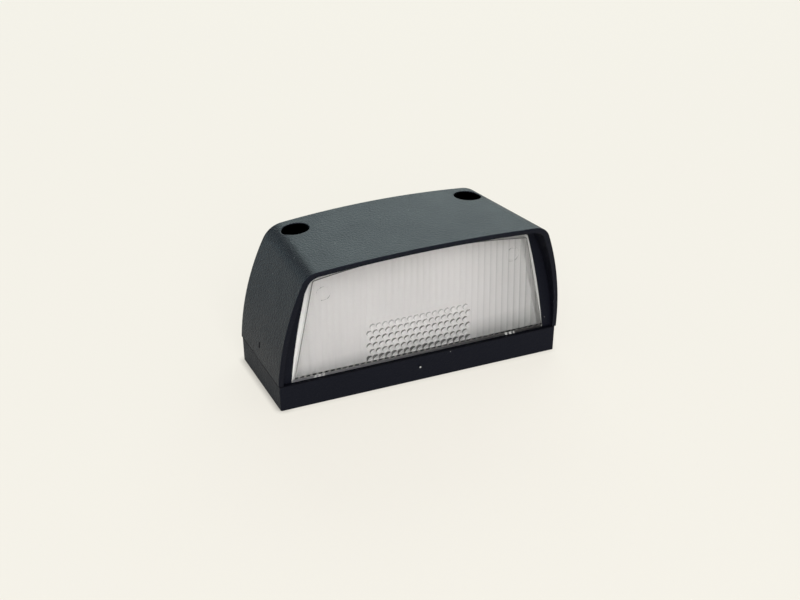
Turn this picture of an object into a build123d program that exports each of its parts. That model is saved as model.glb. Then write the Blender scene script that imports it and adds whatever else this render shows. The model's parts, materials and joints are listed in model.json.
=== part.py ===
"""Number plate lamp for a trailer or truck.

A black base tray carries an arched black hood. The hood's front rim leans forward as a visor over an
upright window, which a clear fluted lens fills. Two deep wells at the back of the hood take the
mounting screws. Inside are a white reflector, a festoon bulb between two contact strips, and a rubber
bush for the cable. X runs left to right, the lens faces -Y, Z is up, and the origin is the middle of
the base's underside. Lengths are in millimetres, angles in degrees.
"""
import os
from math import cos, radians, sin, tan

from build123d import *

os.makedirs("parts", exist_ok=True)

# Fits, and the length of tools that cut right through
fit_clearance = 0.15
seam_gap = 0.15
cut_length = 150.0

# Base tray, measured at its top edge
base_front_width = 100.0
base_back_width = 97.0
base_depth = 38.2
base_height = 8.9
base_wall = 2.2
base_floor = 2.0
base_draft = 2.0
base_corner_radius = 0.8
rib_thickness = 1.6
rib_gap = 1.5
gate_mark_radius = 0.45
gate_mark_height = 0.25
gate_mark_place = (-0.5, 5.0)

# Hood shell
hood_overhang = 0.36
hood_wall = 1.6
rim_lean = 7.9
rim_shoulder_height = 41.2
rim_shoulder_inset = 8.2
rim_side_bow = 2.03
rim_top_rise = 1.58
rim_shoulder_radius = 6.0
back_lean = 1.44
back_shoulder_height = 38.0
back_shoulder_inset = 11.38
back_side_bow = 2.38
back_top_rise = 2.05
back_shoulder_radius = 8.4
rim_edge_radius = 0.4
back_edge_radius = 0.9

# Screw wells
screw_spacing = 62.7
screw_setback = 7.6
well_radius = 4.6
well_edge_radius = 0.3
well_wall = 1.6
well_floor = 2.5
screw_hole_radius = 2.4

# Window frame of the hood
frame_width = 3.16
frame_thickness = 1.6
frame_setback = 1.2
window_shoulder_height = 36.0
window_shoulder_inset = 6.7
window_side_bow = 0.75
window_top_rise = 2.7
window_shoulder_radius = 1.0

# Lens
flange_overlap = 0.9
flange_shoulder_radius = 3.6
flange_thickness = 1.4
seal_thickness = 0.8
panel_margin = 0.4
panel_shoulder_height = 35.45
panel_shoulder_inset = 7.2
panel_top_rise = 2.9
panel_shoulder_radius = 0.8
lens_strip_height = 1.55
lens_bar_height = 1.2
lens_thickness = 3.0
lens_skirt = 1.1
lens_notch_place = 34.7
lens_notch_width = 2.0
lens_notch_height = 0.7
lens_notch_depth = 2.3
flute_height = 0.3
bead_pitch = 2.23
bead_row_pitch = 2.3
bead_rows = 6
beads_in_long_row = 17
bead_radius = 1.08
bead_height = 0.7
bead_sides = 6
bead_slope = 38.0
bead_first_row = 3.0

# Snap tongues of the base and their slots in the hood
tongue_width = 6.0
tongue_thickness = 1.5
tongue_back = 0.5
slot_width = 0.9
slot_height = 2.2
slot_level = 5.5
nib_clearance = 0.1
pry_notch_height = 0.4
pry_notches = [(5.5, 3.2), (-0.3, 1.1)]

# Locating tabs at the back of the base
tab_width = 10.0
tab_thickness = 1.6
tab_height = 3.0
tab_spacing = 24.0

# Reflector
reflector_wall = 1.2
reflector_taper = 5.0
reflector_margin = 1.6
reflector_shoulder_radius = 6.0
reflector_lip = 1.2

# Bulb, a festoon lamp
bulb_axis_level = 10.0
bulb_axis_setback = 14.0
glass_radius = 5.25
glass_length = 25.0
glass_wall = 0.6
cap_radius = 4.25
cap_wall = 0.35
cap_length = 6.0
cap_tip_radius = 1.4
cap_tip_length = 3.0
filament_radius = 0.12
coil_radius = 0.45
coil_length = 7.0

# Contacts and rivets
contact_width = 7.0
seat_hole_radius = 2.3
contact_thickness = 0.5
contact_bend_radius = 1.2
contact_foot_length = 9.0
contact_reach = 4.5
contact_boss_height = 2.0
contact_boss_radius = 3.4
rivet_radius = 1.25
rivet_head_radius = 2.1
rivet_head_height = 0.7

# Cable bush
bush_setback = 9.0
bush_hole_radius = 4.5
bush_flange_radius = 6.0
bush_flange_height = 1.4
bush_bore_radius = 2.6
bush_recess = 0.4
collar_height = 4.2
collar_wall = 1.4

# Levels and faces shared by the pieces
front_y = -base_depth / 2
back_y = base_depth / 2
seam_z = base_height + seam_gap
frame_front_y = front_y + frame_setback
frame_back_y = frame_front_y + frame_thickness
flange_front_y = frame_back_y + seal_thickness
flange_back_y = flange_front_y + flange_thickness
optics_y = front_y + lens_thickness
rim_foot_half = base_front_width / 2 + hood_overhang
back_foot_half = base_back_width / 2 + hood_overhang
window_foot_half = rim_foot_half - hood_wall - frame_width
screw_y = back_y - screw_setback
column_radius = well_radius + well_wall
screw_points = [(-screw_spacing / 2, screw_y), (screw_spacing / 2, screw_y)]
reflector_front_y = flange_back_y + fit_clearance
reflector_back_y = screw_y - column_radius - fit_clearance
wall_cut = 4 * hood_wall
relief_cut = 4 * flute_height
strip_cut = 4 * contact_thickness
bulb_y = front_y + bulb_axis_setback
bulb_z = base_height + bulb_axis_level


def upright(y):
    """Vertical plane across the lamp at a depth y, with its local origin on the seam."""
    return Plane(origin=(0, y, seam_z), x_dir=(1, 0, 0), z_dir=(0, -1, 0))


rim_plane = Plane(
    origin=(0, front_y, seam_z),
    x_dir=(1, 0, 0),
    z_dir=(0, -cos(radians(rim_lean)), -sin(radians(rim_lean))),
)


def back_plane(inset):
    """Plane of the hood's back wall, which leans outwards, moved inwards by an inset."""
    lean = radians(back_lean)
    origin = (0, back_y - inset / cos(lean), seam_z)
    return Plane(origin=origin, x_dir=(1, 0, 0), z_dir=(0, -cos(lean), sin(lean)))


def draw_arch(foot_half, inset, height, bow, rise, foot):
    """Lines of an outline with a straight foot, bowed sides and an arched top."""
    shoulder_half = foot_half - inset
    Line((-foot_half, foot), (foot_half, foot))
    SagittaArc((foot_half, foot), (shoulder_half, height), -bow)
    SagittaArc((shoulder_half, height), (-shoulder_half, height), -rise)
    SagittaArc((-shoulder_half, height), (-foot_half, foot), -bow)


def arched(plane, foot_half, inset, height, bow, rise, radius, foot=0.0):
    """Outline with a straight foot, bowed sides, an arched top and rounded shoulders."""
    with BuildSketch(plane) as outline:
        with BuildLine():
            draw_arch(foot_half, inset, height, bow, rise, foot)
        make_face()
        fillet(outline.vertices().group_by(Axis.Y)[-1], radius)
    return outline.sketch


def rim_outline(inset):
    """Outline of the hood's front rim, moved inwards by an inset."""
    return arched(
        rim_plane,
        rim_foot_half - inset,
        rim_shoulder_inset,
        rim_shoulder_height - inset,
        rim_side_bow,
        rim_top_rise,
        rim_shoulder_radius - inset,
    )


def back_outline(inset):
    """Outline of the hood's back wall, moved inwards by an inset."""
    return arched(
        back_plane(inset),
        back_foot_half - inset,
        back_shoulder_inset,
        back_shoulder_height - inset,
        back_side_bow,
        back_top_rise,
        back_shoulder_radius - inset,
    )


def window_outline(y, growth, radius):
    """Outline of the hood's window at a depth y, grown outwards by an amount."""
    return arched(
        upright(y),
        window_foot_half + growth,
        window_shoulder_inset,
        window_shoulder_height + growth,
        window_side_bow,
        window_top_rise,
        radius,
    )


def flange_outline(y):
    """Outline of the lens flange at a depth y, which overlaps the window all round but at the foot."""
    return window_outline(y, flange_overlap, flange_shoulder_radius)


def side_half_width(foot_half, inset, height, bow, level):
    """Half width of a bowed side at a level above the seam."""
    share = level / height
    return foot_half - inset * share + 4 * bow * share * (1 - share)


def hood_half_width(y, level):
    """Half width of the hood's outside at a depth y and a level above the seam."""
    at_rim = side_half_width(rim_foot_half, rim_shoulder_inset, rim_shoulder_height, rim_side_bow, level)
    at_back = side_half_width(back_foot_half, back_shoulder_inset, back_shoulder_height, back_side_bow, level)
    share = (back_y - y) / base_depth
    return at_back + (at_rim - at_back) * share


def base_outline(level, inset):
    """Plan of the base, wider at the front, moved inwards by an inset."""
    front_half = base_front_width / 2 - inset
    back_half = base_back_width / 2 - inset
    half_depth = base_depth / 2 - inset
    corners = [
        (-front_half, -half_depth),
        (front_half, -half_depth),
        (back_half, half_depth),
        (-back_half, half_depth),
    ]
    with BuildSketch(Plane.XY.offset(level)) as plan:
        Polygon(*corners, align=None)
        fillet(plan.vertices(), base_corner_radius)
    return plan.sketch


# Snap tongue places, inside the hood's side walls
slot_half = hood_half_width(tongue_back, slot_level)
tongue_wall_half = hood_half_width(tongue_back + tongue_width / 2, slot_level + slot_height)
tongue_face_half = tongue_wall_half - hood_wall - fit_clearance
tongue_top = seam_z + slot_level + slot_height
nib_width = slot_width - 2 * nib_clearance
nib_height = slot_height - 2 * nib_clearance
glass_neck_radius = cap_radius - cap_wall - fit_clearance / 2
neck_half = glass_length / 2
cap_end_half = neck_half + cap_length
# the strip stands where the cap's cone fills its hole
seat_share = (cap_radius - seat_hole_radius) / (cap_radius - cap_tip_radius)
contact_half = cap_end_half + cap_tip_length * seat_share + contact_thickness / 2 + fit_clearance
boss_half = contact_half + contact_reach
rib_half = contact_half + contact_foot_length + rib_gap
sides = (-1, 1)

# Base tray
with BuildPart() as base:
    extrude(base_outline(base_height, 0), amount=-base_height, taper=base_draft)
    extrude(base_outline(base_height, base_wall), amount=base_floor - base_height, mode=Mode.SUBTRACT)
    with Locations(*screw_points):
        Cylinder(column_radius, base_height, align=(Align.CENTER, Align.CENTER, Align.MIN))
    # ribs across the tray, which the reflector's back stands on
    for side in sides:
        with Locations((side * rib_half, front_y + base_wall / 2, base_floor)):
            Box(
                rib_thickness,
                reflector_back_y - front_y - base_wall / 2,
                base_height - base_floor,
                align=(Align.CENTER, Align.MIN, Align.MIN),
            )
    # bosses under the contacts
    with Locations((-boss_half, bulb_y, base_floor), (boss_half, bulb_y, base_floor)):
        Cylinder(contact_boss_radius, contact_boss_height, align=(Align.CENTER, Align.CENTER, Align.MIN))
    # collar round the cable inlet
    with Locations((0, bush_setback, 0)):
        Cylinder(bush_hole_radius + collar_wall, collar_height, align=(Align.CENTER, Align.CENTER, Align.MIN))
    # snap tongues with a nib each
    for side in sides:
        with Locations((side * (tongue_face_half - tongue_thickness / 2), tongue_back, base_floor)):
            Box(
                tongue_thickness,
                tongue_width,
                tongue_top - base_floor,
                align=(Align.CENTER, Align.CENTER, Align.MIN),
            )
        nib_reach = slot_half - hood_wall / 2 - tongue_face_half
        with Locations((side * (tongue_face_half + nib_reach / 2), tongue_back, seam_z + slot_level)):
            Box(nib_reach, nib_width, nib_height)
    # tabs that locate the hood's back wall
    for side in sides:
        with Locations((side * tab_spacing / 2, back_y - hood_wall - fit_clearance, base_floor)):
            Box(
                tab_width,
                tab_thickness,
                seam_z + tab_height - base_floor,
                align=(Align.CENTER, Align.MAX, Align.MIN),
            )
    # through holes: mounting screws, contact rivets and the cable
    with Locations(*screw_points):
        Cylinder(screw_hole_radius, cut_length, mode=Mode.SUBTRACT)
    with Locations((-boss_half, bulb_y), (boss_half, bulb_y)):
        Cylinder(rivet_radius + fit_clearance, cut_length, mode=Mode.SUBTRACT)
        Cylinder(
            rivet_head_radius + fit_clearance,
            2 * (rivet_head_height + fit_clearance),
            mode=Mode.SUBTRACT,
        )
    with Locations((0, bush_setback)):
        Cylinder(bush_hole_radius, cut_length, mode=Mode.SUBTRACT)
    # moulding gate mark in the middle of the front
    with BuildSketch(Plane.XZ.offset(base_depth / 2 - base_height * sin(radians(base_draft)))):
        with Locations(gate_mark_place):
            Circle(gate_mark_radius)
    extrude(amount=gate_mark_height + base_height * sin(radians(base_draft)))
base.part.label = "base"
export_step(base.part, "parts/base.step")

# Spaces inside the hood: behind the window frame, and in front of it under the visor
with BuildPart() as rear_chamber:
    loft(sections=[back_outline(hood_wall), rim_outline(hood_wall)], ruled=True)
    split(bisect_by=upright(frame_back_y), keep=Keep.BOTTOM)
    with Locations(*screw_points):
        Cylinder(column_radius, cut_length, mode=Mode.SUBTRACT)

with BuildPart() as visor_recess:
    loft(sections=[back_outline(hood_wall), rim_outline(hood_wall)], ruled=True)
    split(bisect_by=upright(frame_front_y), keep=Keep.TOP)

# Hood
with BuildPart() as hood:
    loft(sections=[back_outline(0), rim_outline(0)], ruled=True)
    # eased edges of the back wall and the rim, all but the straight foot of each
    back_edges = hood.faces().sort_by(Axis.Y)[-1].edges().sort_by(Axis.Z)[1:]
    fillet(back_edges, back_edge_radius)
    rim_edges = hood.faces().sort_by(Axis.Y)[0].edges().sort_by(Axis.Z)[1:]
    fillet(rim_edges, rim_edge_radius)
    add(rear_chamber.part, mode=Mode.SUBTRACT)
    add(visor_recess.part, mode=Mode.SUBTRACT)
    extrude(
        window_outline(frame_front_y, 0, window_shoulder_radius),
        amount=-frame_thickness,
        mode=Mode.SUBTRACT,
    )
    for point in screw_points:
        with Locations((*point, seam_z + well_floor)):
            Cylinder(
                well_radius,
                cut_length,
                align=(Align.CENTER, Align.CENTER, Align.MIN),
                mode=Mode.SUBTRACT,
            )
        with Locations((*point, seam_z)):
            Cylinder(screw_hole_radius, cut_length, mode=Mode.SUBTRACT)
    # eased edges of the wells in the roof
    roof_edges = hood.edges().filter_by_position(
        Axis.Z, seam_z + back_shoulder_height - well_radius, seam_z + rim_shoulder_height
    )
    for x, y in screw_points:
        near_x = roof_edges.filter_by_position(Axis.X, x - well_radius, x + well_radius)
        fillet(near_x.filter_by_position(Axis.Y, y - well_radius, y + well_radius), well_edge_radius)
    # slots for the snap tongues and notches for prying the hood off
    for side in sides:
        with Locations((side * slot_half, tongue_back, seam_z + slot_level)):
            Box(wall_cut, slot_width, slot_height, mode=Mode.SUBTRACT)
        for notch_y, notch_length in pry_notches:
            with Locations((side * back_foot_half, notch_y, seam_z)):
                Box(wall_cut, notch_length, 2 * pry_notch_height, mode=Mode.SUBTRACT)
hood.part.label = "hood"
export_step(hood.part, "parts/hood.step")

# Rubber seal between the window frame and the lens flange
with BuildPart() as lens_seal:
    extrude(flange_outline(flange_front_y), amount=seal_thickness)
    extrude(
        window_outline(flange_front_y, 0, window_shoulder_radius),
        amount=seal_thickness,
        mode=Mode.SUBTRACT,
    )
lens_seal.part.label = "lens_seal"
export_step(lens_seal.part, "parts/lens_seal.step")


def panel_outline(y, inset, foot):
    """Straight-sided outline of the lens's raised panel at a depth y, moved inwards by an inset."""
    seam_half = window_foot_half - panel_margin - inset
    top_half = seam_half - panel_shoulder_inset
    top = panel_shoulder_height - inset
    foot_half = seam_half - panel_shoulder_inset * foot / top
    with BuildSketch(upright(y)) as outline:
        with BuildLine():
            Polyline((-top_half, top), (-foot_half, foot), (foot_half, foot), (top_half, top))
            SagittaArc((top_half, top), (-top_half, top), -panel_top_rise)
        make_face()
        fillet(outline.vertices().group_by(Axis.Y)[-1], panel_shoulder_radius)
    return outline.sketch


# One bead of the lens as a faceted dome, rooted below the face that it stands on
bead_root = bead_height / 2
with BuildPart() as bead:
    with BuildSketch(Plane.XY.offset(-bead_root)):
        RegularPolygon(bead_radius + bead_root * tan(radians(bead_slope)), bead_sides)
    extrude(amount=bead_root + bead_height, taper=bead_slope)

# Bead places in staggered rows, low in the middle of the lens
bead_places = []
for row in range(bead_rows):
    count = beads_in_long_row - row % 2
    for column in range(count):
        x = (column - (count - 1) / 2) * bead_pitch
        z = seam_z + bead_first_row + row * bead_row_pitch
        bead_places.append(Location((x, optics_y, z), (-90, 0, 0)))
bead_field_width = (beads_in_long_row + 1) * bead_pitch
bead_field_top = bead_first_row + (bead_rows - 0.5) * bead_row_pitch

# Upright flutes on the lens's inner face, clear of the beads
flute_count = 2 * int(window_foot_half / bead_pitch) + 1
with BuildPart() as flutes:
    with BuildSketch(Plane.XY.offset(seam_z)):
        with BuildLine():
            left = -flute_count * bead_pitch / 2
            for flute in range(flute_count):
                x = left + flute * bead_pitch
                SagittaArc((x, optics_y), (x + bead_pitch, optics_y), flute_height)
            Polyline(
                (-left, optics_y),
                (-left, optics_y - flute_height),
                (left, optics_y - flute_height),
                (left, optics_y),
            )
        make_face()
    extrude(amount=cut_length)
    extrude(
        panel_outline(optics_y + relief_cut / 2, lens_skirt, lens_bar_height),
        amount=relief_cut,
        mode=Mode.INTERSECT,
    )
    with Locations((0, optics_y, seam_z)):
        Box(
            bead_field_width,
            relief_cut,
            bead_field_top,
            align=(Align.CENTER, Align.CENTER, Align.MIN),
            mode=Mode.SUBTRACT,
        )

# Lens
with BuildPart() as lens:
    extrude(flange_outline(flange_back_y), amount=flange_thickness)
    extrude(
        window_outline(flange_back_y, -fit_clearance, window_shoulder_radius),
        amount=flange_back_y - frame_front_y,
    )
    extrude(panel_outline(frame_front_y, 0, lens_strip_height), amount=frame_front_y - front_y)
    extrude(
        panel_outline(optics_y, lens_skirt, lens_bar_height),
        amount=optics_y - flange_back_y,
        mode=Mode.SUBTRACT,
    )
    add(flutes.part)
    with Locations(*bead_places):
        add(bead.part)
    # small notches in the bar behind the lens's foot
    for side in sides:
        with Locations((side * lens_notch_place, flange_back_y, seam_z)):
            Box(lens_notch_width, 2 * lens_notch_depth, 2 * lens_notch_height, mode=Mode.SUBTRACT)
lens.part.label = "lens"
export_step(lens.part, "parts/lens.step")


def reflector_outline(y, growth, taper, foot):
    """Outline of the reflector at a depth y, standing just above the base."""
    return arched(
        upright(y),
        window_foot_half - reflector_margin - taper + growth,
        window_shoulder_inset,
        window_shoulder_height - reflector_margin - 2 * taper + growth,
        window_side_bow,
        window_top_rise,
        reflector_shoulder_radius,
        foot,
    )


# White reflector, open to the lens and to the base below
with BuildPart() as reflector:
    loft(
        sections=[
            reflector_outline(reflector_back_y, reflector_wall, reflector_taper, 0),
            reflector_outline(reflector_front_y, reflector_wall, 0, 0),
        ],
        ruled=True,
    )
    extrude(flange_outline(reflector_front_y), amount=-reflector_lip)
    loft(
        sections=[
            reflector_outline(reflector_back_y - reflector_wall, 0, reflector_taper, -reflector_wall),
            reflector_outline(reflector_front_y, 0, 0, -reflector_wall),
        ],
        ruled=True,
        mode=Mode.SUBTRACT,
    )
reflector.part.label = "reflector"
export_step(reflector.part, "parts/reflector.step")

# Festoon bulb, built along X about its own axis
bulb_plane = Plane(origin=(0, bulb_y, bulb_z), x_dir=(1, 0, 0), z_dir=(0, -1, 0))
bulb_axis = Axis((0, bulb_y, bulb_z), (1, 0, 0))
shoulder_half = neck_half - (glass_radius - glass_neck_radius)
glass_end_half = neck_half + cap_length / 2

with BuildPart() as bulb_glass:
    with BuildSketch(bulb_plane):
        with BuildLine():
            Polyline(
                (-glass_end_half, glass_neck_radius - glass_wall),
                (-glass_end_half, glass_neck_radius),
                (-neck_half, glass_neck_radius),
                (-shoulder_half, glass_radius),
                (shoulder_half, glass_radius),
                (neck_half, glass_neck_radius),
                (glass_end_half, glass_neck_radius),
                (glass_end_half, glass_neck_radius - glass_wall),
                (neck_half, glass_neck_radius - glass_wall),
                (shoulder_half, glass_radius - glass_wall),
                (-shoulder_half, glass_radius - glass_wall),
                (-neck_half, glass_neck_radius - glass_wall),
                close=True,
            )
        make_face()
    revolve(axis=bulb_axis)
bulb_glass.part.label = "bulb_glass"
export_step(bulb_glass.part, "parts/bulb_glass.step")

cap_bore_radius = cap_radius - cap_wall
for side, name in zip(sides, ("bulb_cap_left", "bulb_cap_right")):
    with BuildPart() as bulb_cap:
        with BuildSketch(bulb_plane):
            with BuildLine():
                Polyline(
                    (side * (neck_half + fit_clearance), cap_bore_radius),
                    (side * (neck_half + fit_clearance), cap_radius),
                    (side * cap_end_half, cap_radius),
                    (side * (cap_end_half + cap_tip_length), cap_tip_radius),
                    (side * (cap_end_half + cap_tip_length), 0),
                    (side * (cap_end_half - cap_wall), 0),
                    (side * (cap_end_half - cap_wall), cap_bore_radius),
                    close=True,
                )
            make_face()
        revolve(axis=bulb_axis)
    bulb_cap.part.label = name
    export_step(bulb_cap.part, f"parts/{name}.step")

filament_half = cap_end_half - cap_wall
with BuildPart() as bulb_filament:
    with BuildSketch(bulb_plane):
        with BuildLine():
            Polyline(
                (-filament_half, 0),
                (-filament_half, filament_radius),
                (-coil_length / 2, filament_radius),
                (-coil_length / 2, coil_radius),
                (coil_length / 2, coil_radius),
                (coil_length / 2, filament_radius),
                (filament_half, filament_radius),
                (filament_half, 0),
                close=True,
            )
        make_face()
    revolve(axis=bulb_axis)
bulb_filament.part.label = "bulb_filament"
export_step(bulb_filament.part, "parts/bulb_filament.step")

# Contacts: a strip riveted to the boss, folded up inside the reflector to the bulb's cap
contact_foot_z = base_floor + contact_boss_height + contact_thickness / 2
contact_top_z = bulb_z + cap_radius
for side, name in zip(sides, ("contact_left", "contact_right")):
    with BuildPart() as contact:
        with BuildSketch(Plane(origin=(0, bulb_y, 0), x_dir=(1, 0, 0), z_dir=(0, -1, 0))):
            with BuildLine():
                FilletPolyline(
                    (side * (contact_half + contact_foot_length), contact_foot_z),
                    (side * contact_half, contact_foot_z),
                    (side * contact_half, contact_top_z),
                    radius=contact_bend_radius,
                )
            trace(line_width=contact_thickness)
        extrude(amount=contact_width / 2, both=True)
        with Locations(Location((side * contact_half, bulb_y, bulb_z), (0, 90, 0))):
            Cylinder(seat_hole_radius, strip_cut, mode=Mode.SUBTRACT)
        with Locations((side * boss_half, bulb_y, contact_foot_z)):
            Cylinder(rivet_radius + fit_clearance, strip_cut, mode=Mode.SUBTRACT)
    contact.part.label = name
    export_step(contact.part, f"parts/{name}.step")

# Rivets through the contact feet and bosses, heads on both sides
rivet_top_z = contact_foot_z + contact_thickness / 2
with BuildPart() as contact_rivets:
    for side in sides:
        with BuildSketch(Plane(origin=(side * boss_half, bulb_y, 0), x_dir=(1, 0, 0), z_dir=(0, -1, 0))):
            with BuildLine():
                Polyline(
                    (0, fit_clearance),
                    (rivet_head_radius, fit_clearance),
                    (rivet_head_radius, rivet_head_height),
                    (rivet_radius, rivet_head_height),
                    (rivet_radius, rivet_top_z),
                    (rivet_head_radius, rivet_top_z),
                    (rivet_radius, rivet_top_z + rivet_head_height),
                    (0, rivet_top_z + rivet_head_height),
                    close=True,
                )
            make_face()
        revolve(axis=Axis((side * boss_half, bulb_y, 0), (0, 0, 1)))
contact_rivets.part.label = "contact_rivets"
export_step(contact_rivets.part, "parts/contact_rivets.step")

# Rubber cable bush in the collar of the base floor
with BuildPart() as cable_grommet:
    with BuildSketch(Plane(origin=(0, bush_setback, 0), x_dir=(1, 0, 0), z_dir=(0, -1, 0))):
        with BuildLine():
            Polyline(
                (bush_bore_radius, bush_recess),
                (bush_hole_radius - fit_clearance, bush_recess),
                (bush_hole_radius - fit_clearance, collar_height),
                (bush_flange_radius, collar_height),
                (bush_flange_radius, collar_height + bush_flange_height),
                (bush_bore_radius, collar_height + bush_flange_height),
                close=True,
            )
        make_face()
    revolve(axis=Axis((0, bush_setback, 0), (0, 0, 1)))
cable_grommet.part.label = "cable_grommet"
export_step(cable_grommet.part, "parts/cable_grommet.step")
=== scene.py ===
import json
import math

import bmesh
import bpy
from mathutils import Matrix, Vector
from mathutils.geometry import intersect_sphere_sphere_2d


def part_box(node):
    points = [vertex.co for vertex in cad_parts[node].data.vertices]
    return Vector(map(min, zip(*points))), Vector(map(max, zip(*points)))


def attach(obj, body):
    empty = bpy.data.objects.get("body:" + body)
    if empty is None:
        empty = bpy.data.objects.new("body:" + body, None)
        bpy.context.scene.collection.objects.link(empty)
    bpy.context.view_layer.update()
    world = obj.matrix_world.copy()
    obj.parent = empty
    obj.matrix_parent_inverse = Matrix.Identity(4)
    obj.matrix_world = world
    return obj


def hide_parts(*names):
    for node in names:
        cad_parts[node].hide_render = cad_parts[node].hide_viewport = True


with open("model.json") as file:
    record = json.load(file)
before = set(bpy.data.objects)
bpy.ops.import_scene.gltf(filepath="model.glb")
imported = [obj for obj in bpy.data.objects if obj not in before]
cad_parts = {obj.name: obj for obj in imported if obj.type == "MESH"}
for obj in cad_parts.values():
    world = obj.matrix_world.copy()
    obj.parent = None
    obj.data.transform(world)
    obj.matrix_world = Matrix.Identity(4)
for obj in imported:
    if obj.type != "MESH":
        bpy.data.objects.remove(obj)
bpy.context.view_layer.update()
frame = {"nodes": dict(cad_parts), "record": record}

nodes = frame["nodes"]
scene = bpy.context.scene
MM = 0.001

# Camera of the photograph, in metres and degrees
CAMERA_TARGET = Vector((-0.00096, -0.00424, 0.02289))
CAMERA_AZIMUTH = 24.7
CAMERA_ELEVATION = 27.41
CAMERA_DISTANCE = 0.6498
FOCAL_PIXELS = 1962.0
FRAME_WIDTH = 800
SENSOR_WIDTH = 36.0

# Studio: what the lights are aimed at, and where the dark flag stands, seen from there
LIGHT_TARGET = (0, 0, 0.03)
FLAG_DIRECTION = Vector((-0.4, 0.78, 0.48)).normalized()
FLAG_EDGE = (0.72, 0.94)
HORIZON = (0.1, 0.7)

# Lens, in millimetres from the foot of the lens
WINDOW = {"half": 45.6, "inset": 6.7, "height": 36.0, "bow": 0.75, "rise": 2.7, "radius": 1.0}
FIT = 0.15
FLANGE_GROWTH = 0.9
FLANGE_RADIUS = 3.6
FLANGE_THICKNESS = 1.4
FRAME_SETBACK = 1.2
PANEL_MARGIN = 0.4
PANEL_INSET = 7.2
PANEL_HEIGHT = 35.45
PANEL_RISE = 2.9
PANEL_RADIUS = 0.8
PANEL_BOW = 0.01
PANEL_EDGE = 0.25
FOOT_EDGE = 0.8
LENS_THICKNESS = 3.0
SKIRT = 1.1
STRIP_HEIGHT = 1.55
BAR_HEIGHT = 1.2
PITCH = 2.23
DASH_PITCH = 2.12
DASH_SHIFT = 0.84
FLUTE_HEIGHT = 0.2
COLUMNS_PER_FLUTE = 12
BEAD_ROWS = 6
BEADS_IN_LONG_ROW = 17
BEAD_ROW_PITCH = 2.3
BEAD_FIRST_ROW = 2.3
BEAD_RADIUS = 1.08
BEAD_HEIGHT = 0.7
PIN_PLACE = (33.6, 29.55)
PIN_RADIUS = 2.35
PIN_GROOVE_WIDTH = 0.4
PIN_GROOVE_DEPTH = 0.12
NOTCH_PLACE = 34.7
NOTCH_SIZE = (2.0, 2.2, 0.65)
# pale bars on the strip, painted highlights: places, half width, and columns to a bar
HIGHLIGHT_PLACES = (-35.5, 32.8)
HIGHLIGHT_HALF = 1.7
HIGHLIGHT_COLUMNS = 4
# edges of the lens that turn by more than this, in degrees, stay sharp
SHARP_ANGLE = 40
# rows of faces up the inner side: bead field, plain flutes, ejector pin rings, top
ZONE_ROWS = (72, 6, 40, 4)
# finishes of the lens's faces: panel, inner relief, strip below the panel, panel's foot, seat on the
# base, side of the panel, edge of the panel, pale bars on the strip; relief, strip, foot, seat and edge
# carry painted shade, side and bars painted highlights
POLISHED, ETCHED, SATIN, PAINTED_DASHES, SEATED, PALE_HIGHLIGHT, BEVELLED, STRIP_HIGHLIGHT = range(8)

# Marks on the black mouldings, and the places in the screw wells and along the seam that get painted
# shade, in metres
GATE_MARK = (-0.0005, -0.0193, 0.005)
GATE_EDGE = (0.0002, 0.00045)
mounts = {mount["name"]: mount for mount in frame["record"]["mounts"]}
well = mounts["screw_well_right"]
WELL_PLACE = (well["pos_m"][0], well["pos_m"][1], 0)
WELL_SLACK = 0.02
WELL_RADIUS = (well["dims"]["r_mm"] + WELL_SLACK) * MM
SEAM_DROP = 0.07 * MM
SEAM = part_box("lens")[0][2] - SEAM_DROP
SEAM_HALF = 0.3 * MM
SPECK_SCALE = 280.0
SPECK_EDGE = (0.03, 0.056)
SPECK_SHARE = 0.25
# how far a face has turned to the side where it counts as one of the lamp's ends
END_FACING = (0.3, 0.8)

# Shading of the lens, in metres: levels above the base's underside, then stretches across the lens
FOOT_LEVELS = (0.011, 0.0165)
LOW_BEADS = (0.0105, 0.0135)
HIGH_BEADS = (0.0195, 0.0235)
FACE_STRETCH = (0.015, 0.042)
CUSP_STRETCH = (0.01, 0.04)
DASH_STRETCH = (-0.02, 0.036)
STRIP_STRETCH = (-0.04, 0.042)
RIM_STRETCH = (0.01, 0.036)
# how much the shade at the foot drops towards the right end
FOOT_SLANT = 0.05
# side of the beads that sends the light down and away, so that it looks dark, and slopes to either side
DARK_SIDE = (-0.55, 0.0, 0.83)
DARK_SLOPES = (0.19, 0.32)
LIT_SLOPES = (-0.6, -0.3)
# edges of the lines at the cusps and of the gaps between the dashes
CUSP_EDGE = (0.4 * PITCH * MM, 0.5 * PITCH * MM)
GAP_EDGE = (0.14 * DASH_PITCH * MM, 0.2 * DASH_PITCH * MM)

# Finishes: refraction, and the scale and depth of a grain
CLEAR_IOR = 1.49
GLASS_IOR = 1.5
FINE_GRAIN = (1500, 0.00001)
MOULD_GRAIN = (1500, 0.0005)
BLACK = (0, 0, 0)


def add_camera():
    """Camera at the photograph's viewing angle, to the front left and above."""
    azimuth = math.radians(CAMERA_AZIMUTH)
    elevation = math.radians(CAMERA_ELEVATION)
    away = Vector((
        -math.sin(azimuth) * math.cos(elevation),
        -math.cos(azimuth) * math.cos(elevation),
        math.sin(elevation),
    ))
    data = bpy.data.cameras.new("camera")
    data.sensor_fit = "HORIZONTAL"
    data.sensor_width = SENSOR_WIDTH
    data.lens = FOCAL_PIXELS * SENSOR_WIDTH / FRAME_WIDTH
    data.clip_start = 0.01
    camera = bpy.data.objects.new("camera", data)
    camera.location = CAMERA_TARGET + away * CAMERA_DISTANCE
    camera.rotation_euler = (-away).to_track_quat("-Z", "Y").to_euler()
    scene.collection.objects.link(camera)
    scene.camera = camera


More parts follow.
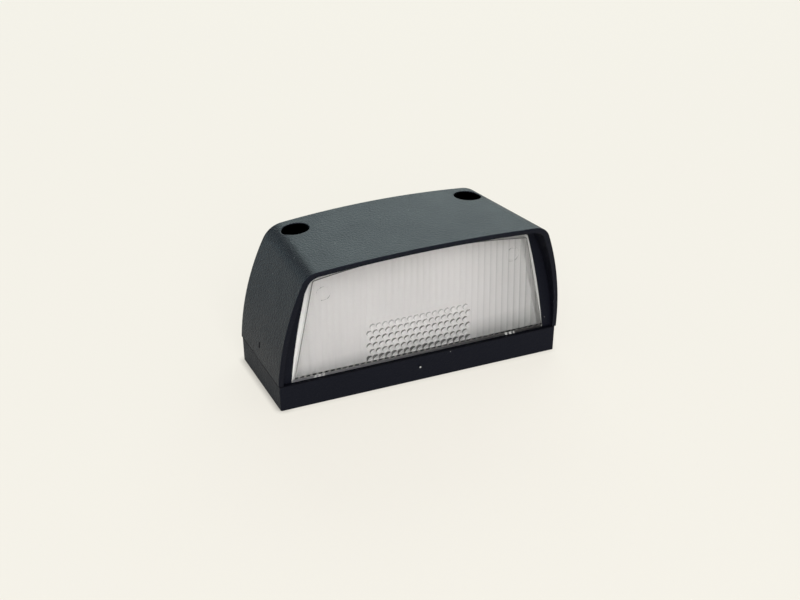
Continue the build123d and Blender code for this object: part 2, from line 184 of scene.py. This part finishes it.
def area_light(name, place, size, power, colour):
    """Soft rectangular light at a place, aimed at the lamp."""
    data = bpy.data.lights.new(name, "AREA")
    data.shape = "RECTANGLE"
    data.size, data.size_y = size
    data.energy = power
    data.color = colour
    light = bpy.data.objects.new(name, data)
    light.location = place
    light.rotation_euler = (Vector(LIGHT_TARGET) - Vector(place)).to_track_quat("-Z", "Y").to_euler()
    scene.collection.objects.link(light)


class Tree:
    """Short way to fill a shader tree: add nodes with their settings, then join sockets."""

    def __init__(self, owner):
        owner.use_nodes = True
        self.nodes = owner.node_tree.nodes
        self.links = owner.node_tree.links

    def add(self, kind, inputs=None, **settings):
        made = self.nodes.new(kind)
        for key, value in settings.items():
            setattr(made, key, value)
        for key, value in (inputs or {}).items():
            if isinstance(value, bpy.types.NodeSocket):
                self.links.new(value, made.inputs[key])
            else:
                made.inputs[key].default_value = value
        return made

    def coordinates(self):
        return self.add("ShaderNodeTexCoord").outputs

    def axes(self, vector):
        return self.add("ShaderNodeSeparateXYZ", {0: vector}).outputs

    def noise(self, place, scale, detail=2.0):
        made = self.add("ShaderNodeTexNoise", {"Vector": place, "Scale": scale, "Detail": detail})
        return made.outputs["Fac"]

    def remap(self, value, low, high, to_low, to_high):
        inputs = {"Value": value, "From Min": low, "From Max": high, "To Min": to_low, "To Max": to_high}
        return self.add("ShaderNodeMapRange", inputs).outputs["Result"]

    def math(self, operation, first, second=0.0):
        return self.add("ShaderNodeMath", {0: first, 1: second}, operation=operation).outputs[0]

    def measure(self, operation, first, second):
        made = self.add("ShaderNodeVectorMath", {0: first, 1: second}, operation=operation)
        return made.outputs["Value"]

    def blend(self, share, first, second):
        made = self.add("ShaderNodeMix", {"Factor": share}, data_type="RGBA")
        for socket, colour in ((made.inputs[6], first), (made.inputs[7], second)):
            if isinstance(colour, bpy.types.NodeSocket):
                self.links.new(colour, socket)
            else:
                socket.default_value = (*colour, 1)
        return made.outputs[2]


def source(shader, socket):
    """What feeds a socket of a shader."""
    return shader.inputs[socket].links[0].from_socket


def surface(name, colours, roughness, patch_scale, grain, **sockets):
    """Principled material whose colour, roughness and fine grain vary over the object."""
    grain_scale, grain_depth = grain
    material = bpy.data.materials.new(name)
    tree = Tree(material)
    shader = tree.nodes["Principled BSDF"]
    place = tree.coordinates()["Object"]
    patches = tree.noise(place, patch_scale)
    height = tree.noise(place, grain_scale, detail=4.0)
    tree.links.new(tree.blend(patches, *colours), shader.inputs["Base Color"])
    tree.links.new(tree.remap(patches, 0.3, 0.7, *roughness), shader.inputs["Roughness"])
    bump = tree.add("ShaderNodeBump", {"Height": height, "Strength": 1.0, "Distance": grain_depth})
    tree.links.new(bump.outputs["Normal"], shader.inputs["Normal"])
    for key, value in sockets.items():
        shader.inputs[key.replace("_", " ")].default_value = value
    return material


def dress(node, material):
    """Give a node of the frame its material."""
    nodes[node].data.materials.clear()
    nodes[node].data.materials.append(material)


def outline(half, inset, height, bow, rise, radius, foot=0.0):
    """Half width, foot and roof curve of an arched outline with rounded shoulders."""
    shoulder = Vector((half - inset, height))
    top_radius = (shoulder.x ** 2 + rise ** 2) / (2 * rise)
    top_centre = Vector((0, height + rise - top_radius))
    chord = shoulder - Vector((half, foot))
    side_radius = (chord.length ** 2 / 4 + bow ** 2) / (2 * bow)
    outward = Vector((chord.y, -chord.x)).normalized()
    side_centre = shoulder - chord / 2 - outward * (side_radius - bow)
    crossings = intersect_sphere_sphere_2d(
        top_centre, top_radius - radius, side_centre, side_radius - radius
    )
    corner = min(crossings, key=lambda point: (point - shoulder).length)
    top_end = top_centre + (corner - top_centre).normalized() * top_radius
    side_end = side_centre + (corner - side_centre).normalized() * side_radius

    def roof(x):
        x = abs(x)
        if x < top_end.x:
            centre, reach = top_centre, top_radius
        elif x < side_end.x:
            centre, reach = corner, radius
        else:
            centre, reach = side_centre, side_radius
        return centre.y + math.sqrt(max(reach ** 2 - (x - centre.x) ** 2, 0))

    return half, foot, roof


def window_outline(growth, radius):
    """Outline of the hood's window, grown outwards by an amount."""
    half = WINDOW["half"] + growth
    height = WINDOW["height"] + growth
    return outline(half, WINDOW["inset"], height, WINDOW["bow"], WINDOW["rise"], radius)


def panel_outline(inset, foot):
    """Straight-sided outline of the lens's raised panel, moved inwards by an inset."""
    height = PANEL_HEIGHT - inset
    seam_half = WINDOW["half"] - PANEL_MARGIN - inset
    slant = PANEL_INSET * foot / height
    half = seam_half - slant
    return outline(half, PANEL_INSET - slant, height, PANEL_BOW, PANEL_RISE, PANEL_RADIUS, foot)


def bead_relief(x, z):
    """Height of the bead field's inner face: staggered rows of round beads."""
    nearest_row = round((z - BEAD_FIRST_ROW) / BEAD_ROW_PITCH)
    ball = (BEAD_RADIUS ** 2 + BEAD_HEIGHT ** 2) / (2 * BEAD_HEIGHT)
    height = 0.0
    for row in (nearest_row - 1, nearest_row, nearest_row + 1):
        if not 0 <= row < BEAD_ROWS:
            continue
        count = BEADS_IN_LONG_ROW - row % 2
        column = round(x / PITCH + (count - 1) / 2)
        column = min(max(column, 0), count - 1)
        centre = (column - (count - 1) / 2) * PITCH
        level = BEAD_FIRST_ROW + row * BEAD_ROW_PITCH
        reach = math.hypot(x - centre, z - level)
        if reach < BEAD_RADIUS:
            height = max(height, math.sqrt(ball ** 2 - reach ** 2) - ball + BEAD_HEIGHT)
    return height


def lens_relief(x, z):
    """Height of the lens's inner face above its flat: beads, flutes and ejector pin rings."""
    field_half = BEADS_IN_LONG_ROW * PITCH / 2
    field_top = BEAD_FIRST_ROW + (BEAD_ROWS - 0.5) * BEAD_ROW_PITCH
    across = (x / PITCH + 0.5) % 1.0
    height = FLUTE_HEIGHT * 4 * across * (1 - across)
    if abs(x) < field_half:
        height *= min(max((z - field_top) / BEAD_ROW_PITCH, 0.0), 1.0)
        height += bead_relief(x, z)
    ring = abs(math.hypot(abs(x) - PIN_PLACE[0], z - PIN_PLACE[1]) - PIN_RADIUS)
    if ring < PIN_GROOVE_WIDTH / 2:
        height -= PIN_GROOVE_DEPTH
    return height


def make_lens():
    """Clear lens as one closed skin, built column by column from its outlines."""
    low, high = (Vector(corner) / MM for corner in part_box("lens"))
    front_y, back_y, seam_z = low.y, high.y, low.z
    frame_y = front_y + FRAME_SETBACK
    flange_y = back_y - FLANGE_THICKNESS
    optics_y = front_y + LENS_THICKNESS
    pocket = panel_outline(SKIRT, BAR_HEIGHT)
    # columns that fall on the flutes' cusps, and one at each end
    step = PITCH / COLUMNS_PER_FLUTE
    side_columns = int(pocket[0] / step)
    shares = [column * step / pocket[0] for column in range(-side_columns, side_columns + 1)]
    shares = [-1.0] + shares + [1.0]
    points = []
    faces = []
    slots = []

    def put(x, y, z):
        points.append((x * MM, y * MM, (seam_z + z) * MM))
        return len(points) - 1

    def ring(shape, y):
        """Closed loop of an outline at a depth y: along the foot, then back over the roof."""
        half, foot, roof = shape
        loop = [put(share * half, y, foot) for share in shares]
        loop += [put(share * half, y, roof(share * half)) for share in reversed(shares[1:-1])]
        return loop

    def in_strip_highlight(x, column):
        """Whether a column of the strip is one of the pale bars of a painted highlight."""
        near = min(abs(x - place) for place in HIGHLIGHT_PLACES)
        return near < HIGHLIGHT_HALF and column // HIGHLIGHT_COLUMNS % 2 == 0

    def band(first, second, foot_slot, arch_slot):
        for place in range(len(first)):
            after = (place + 1) % len(first)
            faces.append((first[place], first[after], second[after], second[place]))
            slot = foot_slot if place < len(shares) - 1 else arch_slot
            if slot == SATIN and in_strip_highlight(points[first[place]][0] / MM, place):
                slot = STRIP_HIGHLIGHT
            slots.append(slot)

    panel_face = panel_outline(PANEL_EDGE, STRIP_HEIGHT + FOOT_EDGE)
    panel = panel_outline(0, STRIP_HEIGHT)
    plug = window_outline(-FIT, WINDOW["radius"])
    flange = window_outline(FLANGE_GROWTH, FLANGE_RADIUS)
    loops = [
        (ring(panel_face, front_y), PAINTED_DASHES, BEVELLED),
        (ring(panel, front_y + PANEL_EDGE), PAINTED_DASHES, PALE_HIGHLIGHT),
        (ring(panel, frame_y), SATIN, PALE_HIGHLIGHT),
        (ring(plug, frame_y), SEATED, POLISHED),
        (ring(plug, flange_y), SEATED, POLISHED),
        (ring(flange, flange_y), SEATED, POLISHED),
        (ring(flange, back_y), POLISHED, ETCHED),
        (ring(pocket, back_y), POLISHED, ETCHED),
    ]
    faces.append(tuple(reversed(loops[0][0])))
    slots.append(POLISHED)
    # inner face, with its relief
    half, foot, roof = pocket
    bead_top = BEAD_FIRST_ROW + BEAD_ROWS * BEAD_ROW_PITCH
    full = roof(0)
    pin_reach = PIN_RADIUS + PIN_GROOVE_WIDTH
    pin_stretch = (full - foot) / (roof(PIN_PLACE[0]) - foot)
    pin_low = foot + (PIN_PLACE[1] - pin_reach - foot) * pin_stretch
    pin_high = foot + (PIN_PLACE[1] + pin_reach - foot) * pin_stretch
    zone_ends = (foot, bead_top, pin_low, pin_high, full)
    levels = [foot]
    for low_end, high_end, rows in zip(zone_ends, zone_ends[1:], ZONE_ROWS):
        levels += [low_end + (high_end - low_end) * row / rows for row in range(1, rows + 1)]
    rises = [(level - foot) / (full - foot) for level in levels]
    grid = []
    for share in shares:
        x = share * half
        top = foot if abs(share) == 1 else roof(x)
        if top == foot:
            end = put(x, optics_y, foot)
            grid.append([end] * len(rises))
            continue
        heights = [foot + rise * (top - foot) for rise in rises]
        grid.append([put(x, optics_y + lens_relief(x, z), z) for z in heights])
    edge = [column[0] for column in grid] + [column[-1] for column in reversed(grid[1:-1])]
    loops.append((edge, POLISHED, POLISHED))
    for (first, foot_slot, arch_slot), (second, _, _) in zip(loops, loops[1:]):
        band(first, second, foot_slot, arch_slot)
    for left, right in zip(grid, grid[1:]):
        for row in range(len(rises) - 1):
            corners = tuple(dict.fromkeys((left[row], left[row + 1], right[row + 1], right[row])))
            if len(corners) > 2:
                faces.append(corners)
                slots.append(ETCHED)
    # small hollows behind the strip below the panel, pale as painted highlights
    width, depth, height = NOTCH_SIZE
    skin_faces = len(faces)
    for side in (-1, 1):
        left, right = side * NOTCH_PLACE - width / 2, side * NOTCH_PLACE + width / 2
        corners = ((left, FIT), (right, FIT), (right, height), (left, height))
        front = [put(x, back_y - FIT - depth, z) for x, z in corners]
        back = [put(x, back_y - FIT, z) for x, z in corners]
        faces.append(tuple(front))
        faces.append(tuple(reversed(back)))
        slots += [PALE_HIGHLIGHT, PALE_HIGHLIGHT]
        band(back, front, PALE_HIGHLIGHT, PALE_HIGHLIGHT)
    mesh = bpy.data.meshes.new("lens_optics")
    mesh.from_pydata(points, [], faces)
    mesh.polygons.foreach_set("use_smooth", [True] * len(faces))
    mesh.polygons.foreach_set("material_index", slots)
    skin = bmesh.new()
    skin.from_mesh(mesh)
    skin.faces.ensure_lookup_table()
    bmesh.ops.recalc_face_normals(skin, faces=skin.faces)
    bmesh.ops.reverse_faces(skin, faces=skin.faces[skin_faces:])
    skin.to_mesh(mesh)
    skin.free()
    mesh.set_sharp_from_angle(angle=math.radians(SHARP_ANGLE))
    piece = bpy.data.objects.new("lens_optics", mesh)
    scene.collection.objects.link(piece)
    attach(piece, "root")
    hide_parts("lens")
    return piece


def black_plastic(name, roughness):
    """Grained black plastic with a few dust specks, and a pale gate mark on the base's front."""
    gloss = (0.48, 0.55, 0.71)
    material = surface(
        name, ((0.003, 0.0032, 0.0057), (0.0038, 0.004, 0.0068)), roughness, 90, MOULD_GRAIN,
        Specular_IOR_Level=0.115, Specular_Tint=(*gloss, 1),
    )
    tree = Tree(material)
    shader = tree.nodes["Principled BSDF"]
    coordinates = tree.coordinates()
    place = coordinates["Object"]
    cells = tree.add("ShaderNodeTexVoronoi", {"Vector": place, "Scale": SPECK_SCALE})
    speck = tree.remap(cells.outputs["Distance"], *SPECK_EDGE, 0.4, 0.0)
    pick = tree.add("ShaderNodeSeparateColor", {0: cells.outputs["Color"]}).outputs[0]
    specks = tree.math("MULTIPLY", speck, tree.math("GREATER_THAN", pick, 1 - SPECK_SHARE))
    gate = tree.remap(tree.measure("DISTANCE", place, GATE_MARK), *GATE_EDGE, 0.4, 0.0)
    marks = tree.math("MAXIMUM", specks, gate)
    colour = tree.blend(marks, source(shader, "Base Color"), (0.75, 0.75, 0.73))
    # painted shade: the screw wells inside and the edges along the seam are coloured black, with their
    # reflection tinted black, and made fully rough
    axes = tree.axes(place)
    aside = tree.math("ABSOLUTE", axes["X"])
    level = tree.add("ShaderNodeCombineXYZ", {"X": aside, "Y": axes["Y"]}).outputs[0]
    in_well = tree.math("LESS_THAN", tree.measure("DISTANCE", level, WELL_PLACE), WELL_RADIUS)
    off_seam = tree.math("ABSOLUTE", tree.math("SUBTRACT", axes["Z"], SEAM))
    at_seam = tree.math("LESS_THAN", off_seam, SEAM_HALF)
    facing = tree.math("ABSOLUTE", tree.axes(coordinates["Normal"])["X"])
    at_seam = tree.math("MULTIPLY", at_seam, tree.remap(facing, *END_FACING, 0.35, 1.0))
    dull_painted_shade = tree.math("MAXIMUM", in_well, at_seam)
    tree.links.new(tree.blend(dull_painted_shade, colour, BLACK), shader.inputs["Base Color"])
    tree.links.new(tree.blend(dull_painted_shade, gloss, BLACK), shader.inputs["Specular Tint"])
    rough = tree.math("MAXIMUM", source(shader, "Roughness"), dull_painted_shade)
    tree.links.new(rough, shader.inputs["Roughness"])
    # the grain is deepest on the ends
    bump = source(shader, "Normal").node
    depth = tree.remap(facing, *END_FACING, 0.45, 1.0)
    tree.links.new(depth, bump.inputs["Strength"])
    return material


black = black_plastic("black_plastic", (0.44, 0.48))
base_black = black_plastic("black_plastic_base", (0.54, 0.58))
white = surface("white_plastic", ((0.87, 0.87, 0.85), (0.9, 0.9, 0.88)), (0.3, 0.4), 60, (900, 0.00001))
rubber = surface("rubber", ((0.018, 0.018, 0.018), (0.03, 0.03, 0.03)), (0.6, 0.75), 120, (2000, 0.00003))
plated = surface(
    "plated_steel", ((0.58, 0.58, 0.55), (0.66, 0.66, 0.64)), (0.28, 0.4), 200, FINE_GRAIN, Metallic=1.0
)
nickel = surface(
    "nickel", ((0.66, 0.65, 0.62), (0.74, 0.73, 0.7)), (0.18, 0.3), 200, FINE_GRAIN, Metallic=1.0
)
glass = surface(
    "bulb_glass", ((0.97, 0.98, 0.98), (1, 1, 1)), (0.0, 0.02), 100, (300, 0.000002),
    Transmission_Weight=1.0, IOR=GLASS_IOR,
)
polished = surface(
    "clear_plastic", ((0.97, 0.97, 0.965), (0.99, 0.99, 0.985)), (0.02, 0.06), 80, (400, 0.000003),
    Transmission_Weight=1.0, IOR=CLEAR_IOR,
)


def etched_plastic():
    """Satin inner face of the lens, with painted shade: dark sides on the beads, darker to the foot and
    the right end.
    """
    material = surface(
        "clear_plastic_inside", ((0.94, 0.915, 0.925), (0.96, 0.935, 0.945)), (0.4, 0.46), 80, FINE_GRAIN,
        Transmission_Weight=0.3, IOR=CLEAR_IOR,
    )
    tree = Tree(material)
    shader = tree.nodes["Principled BSDF"]
    coordinates = tree.coordinates()
    place = tree.axes(coordinates["Object"])
    # slope of the face, the same from both of its sides
    behind = tree.add("ShaderNodeNewGeometry").outputs["Backfacing"]
    lean = tree.measure("DOT_PRODUCT", coordinates["Normal"], DARK_SIDE)
    turn = tree.remap(behind, 0.0, 1.0, 1.0, -1.0)
    slope = tree.math("MULTIPLY", lean, turn)
    # light on the face: less at the foot and at the right end, full on the beads' far sides
    level = tree.math("SUBTRACT", place["Z"], tree.math("MULTIPLY", place["X"], FOOT_SLANT))
    foot_light = tree.remap(level, *FOOT_LEVELS, 0.7, 1.0)
    end_light = tree.remap(place["X"], *FACE_STRETCH, 1.0, 0.78)
    bead_light = tree.remap(slope, *LIT_SLOPES, 1.0, 0.0)
    light = tree.math("MAXIMUM", tree.math("MULTIPLY", foot_light, end_light), bead_light)
    # painted shade: thin dark lines at the flutes' cusps, plainer towards the right end
    wave = tree.math("PINGPONG", place["X"], PITCH * MM / 2)
    cusp = tree.remap(wave, *CUSP_EDGE, 0.0, 1.0)
    cusp = tree.math("MULTIPLY", cusp, tree.remap(place["X"], *CUSP_STRETCH, 0.0, 0.4))
    light = tree.math("MULTIPLY", light, tree.math("SUBTRACT", 1.0, cusp))
    # painted shade on the beads' dark sides: broad in the lowest row, faint in the highest
    breadth = tree.remap(place["Z"], *LOW_BEADS, 0.35, 0.0)
    aside = tree.math("ABSOLUTE", place["X"])
    in_field = tree.math("LESS_THAN", aside, BEADS_IN_LONG_ROW * PITCH * MM / 2)
    breadth = tree.math("MULTIPLY", breadth, in_field)
    strength = tree.remap(place["Z"], *HIGH_BEADS, 1.0, 0.35)
    shade = tree.remap(tree.math("ADD", slope, breadth), *DARK_SLOPES, 0.0, 1.0)
    shade = tree.math("MULTIPLY", shade, strength)
    colour = tree.blend(light, (0.02, 0.05, 0.04), source(shader, "Base Color"))
    tree.links.new(tree.blend(shade, colour, (0.02, 0.022, 0.024)), shader.inputs["Base Color"])
    return material


def painted_dash_foot():
    """Foot of the lens's panel, with painted shade: a row of dark dashes with pale gaps, the gaps fainter
    to the right end.
    """
    material = surface(
        "clear_plastic_foot", ((0.006, 0.006, 0.007), (0.01, 0.01, 0.011)), (0.5, 0.6), 80, FINE_GRAIN,
        Specular_IOR_Level=0.1,
    )
    tree = Tree(material)
    shader = tree.nodes["Principled BSDF"]
    across = tree.axes(tree.coordinates()["Object"])["X"]
    along = tree.math("ADD", across, DASH_SHIFT * MM)
    wave = tree.math("PINGPONG", along, DASH_PITCH * MM / 2)
    gap = tree.remap(wave, *GAP_EDGE, 1.0, 0.0)
    gap = tree.math("MULTIPLY", gap, tree.remap(across, *DASH_STRETCH, 0.24, 0.05))
    colour = tree.blend(gap, source(shader, "Base Color"), (0.8, 0.8, 0.79))
    tree.links.new(colour, shader.inputs["Base Color"])
    return material


def darken_to_right(material, stretch, least):
    """Paint shade on a part of the lens, darker from left to right, as it shows more of the dark
    mouldings there.
    """
    tree = Tree(material)
    shader = tree.nodes["Principled BSDF"]
    across = tree.axes(tree.coordinates()["Object"])["X"]
    light = tree.remap(across, *stretch, 1.0, least)
    colour = tree.blend(light, BLACK, source(shader, "Base Color"))
    tree.links.new(colour, shader.inputs["Base Color"])


strip = surface(
    "clear_plastic_strip", ((0.74, 0.73, 0.78), (0.78, 0.77, 0.82)), (0.3, 0.36), 80, FINE_GRAIN,
    Transmission_Weight=0.88, IOR=CLEAR_IOR,
)
# painted shade on the strip below the panel, towards its right end
darken_to_right(strip, STRIP_STRETCH, 0.1)
# pale translucent plastic as painted highlights: the panel's side and the hollows, and bars on the strip
pale_highlight, mark = (
    surface(
        name, ((0.66, 0.66, 0.65), (0.78, 0.78, 0.77)), (0.4, 0.46), 300, FINE_GRAIN,
        Transmission_Weight=0.42, IOR=CLEAR_IOR,
    )
    for name in ("clear_plastic_rim", "clear_plastic_painted_highlight")
)
# painted shade on the panel's side and the hollows, darker towards the right end
darken_to_right(pale_highlight, RIM_STRETCH, 0.6)
# painted shade: the panel's bevelled edge is clear plastic coloured dark grey, without transmission
bevelled = surface(
    "clear_plastic_edge", ((0.15, 0.15, 0.146), (0.2, 0.2, 0.195)), (0.4, 0.46), 300, FINE_GRAIN,
    IOR=CLEAR_IOR,
)
dress("hood", black)
dress("base", base_black)
dress("lens", polished)
dress("reflector", white)
for name in ("lens_seal", "cable_grommet"):
    dress(name, rubber)
for name in ("contact_left", "contact_right", "contact_rivets"):
    dress(name, plated)
for name in ("bulb_cap_left", "bulb_cap_right", "bulb_filament"):
    dress(name, nickel)
dress("bulb_glass", glass)
lens = make_lens()
# the lens's seat on the base takes the black plastic, as painted shade
lens_finishes = (polished, etched_plastic(), strip, painted_dash_foot(), black, pale_highlight, bevelled, mark)
for material in lens_finishes:
    lens.data.materials.append(material)


def make_floor():
    """Wide pale floor; what the camera sees of it is evened out, and the shadow stays."""
    half = 3.0
    mesh = bpy.data.meshes.new("floor")
    corners = [(-half, -half, 0), (half, -half, 0), (half, half, 0), (-half, half, 0)]
    mesh.from_pydata(corners, [], [(0, 1, 2, 3)])
    floor = bpy.data.objects.new("floor", mesh)
    scene.collection.objects.link(floor)
    material = bpy.data.materials.new("floor")
    tree = Tree(material)
    paper = (0.865, 0.83, 0.76, 1)
    shader = tree.nodes["Principled BSDF"]
    shader.inputs["Base Color"].default_value = paper
    shader.inputs["Roughness"].default_value = 0.9
    shader.inputs["Specular IOR Level"].default_value = 0.1
    # painted contact shadow, deepest at the lamp's left end, which also darkens the even part
    shadow_reach = 0.0025
    left_end = (-0.05, -0.045)
    open_sky = tree.add("ShaderNodeAmbientOcclusion", {"Distance": shadow_reach}).outputs["AO"]
    across = tree.axes(tree.coordinates()["Object"])["X"]
    least = tree.remap(across, *left_end, 0.4, 0.85)
    strength = tree.remap(open_sky, 0.45, 1.0, least, 1.0)
    glow = tree.add("ShaderNodeEmission", {"Color": (0.84, 0.81, 0.742, 1), "Strength": strength})
    path = tree.add("ShaderNodeLightPath").outputs
    seen = tree.math("MAXIMUM", path["Is Camera Ray"], path["Is Glossy Ray"])
    seen = tree.math("MAXIMUM", seen, path["Is Transmission Ray"])
    even_share = 0.86
    share = tree.math("MULTIPLY", seen, even_share)
    mix = tree.add("ShaderNodeMixShader", {0: share, 1: shader.outputs[0], 2: glow.outputs[0]})
    tree.links.new(mix.outputs[0], tree.nodes["Material Output"].inputs["Surface"])
    mesh.materials.append(material)


def make_world():
    """Soft dome, dimmer towards the horizon and where a dark flag stands behind the left shoulder."""
    world = bpy.data.worlds.new("world")
    scene.world = world
    tree = Tree(world)
    background = tree.nodes["Background"]
    direction = tree.coordinates()["Generated"]
    dome = tree.remap(tree.axes(direction)["Z"], *HORIZON, 0.4, 1.0)
    flag = tree.remap(tree.measure("DOT_PRODUCT", direction, FLAG_DIRECTION), *FLAG_EDGE, 1.0, 0.1)
    tree.links.new(tree.math("MULTIPLY", dome, flag), background.inputs["Strength"])
    background.inputs["Color"].default_value = (0.96, 1.0, 1.0, 1)


make_floor()
make_world()
area_light("back_softbox", (0.7, 1.2, 0.75), (1.4, 0.8), 17.5, (0.82, 1.0, 0.97))
area_light("end_softbox", (-0.8, 1.0, 0.12), (0.9, 0.2), 5.0, (0.62, 0.93, 1.0))
area_light("key_softbox", (-0.5, -1.5, 1.05), (1.2, 1.2), 41.0, (1.0, 0.99, 0.97))
add_camera()
scene.view_settings.view_transform = "Standard"
